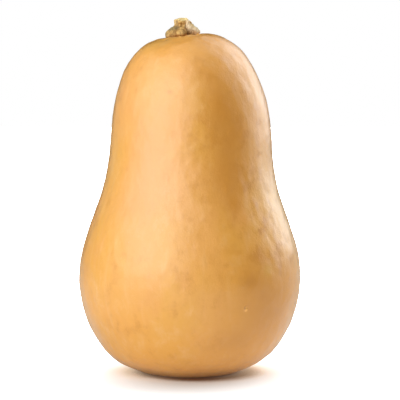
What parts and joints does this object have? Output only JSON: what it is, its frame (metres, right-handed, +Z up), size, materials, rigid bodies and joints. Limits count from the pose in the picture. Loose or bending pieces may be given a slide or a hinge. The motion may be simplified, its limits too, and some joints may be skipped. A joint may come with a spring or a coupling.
{
  "type": "butternut squash",
  "caption": "Whole ripe butternut squash with a long thick neck, a round bulb and a short corky stem stub, standing upright on its blossom end.",
  "frame": {"origin": "centre of the bounding box's bottom face, on the surface the squash stands on", "axes": "+Z up along the fruit from the blossom end to the stem, -Y towards the viewer, +X to the right"},
  "size_m": [0.1326, 0.1306, 0.2134],
  "materials": {
    "rind": "satin",
    "stem": "matte"
  },
  "bodies": {
    "root": {"fruit": "rind", "stem": "stem"}
  },
  "joints": []
}
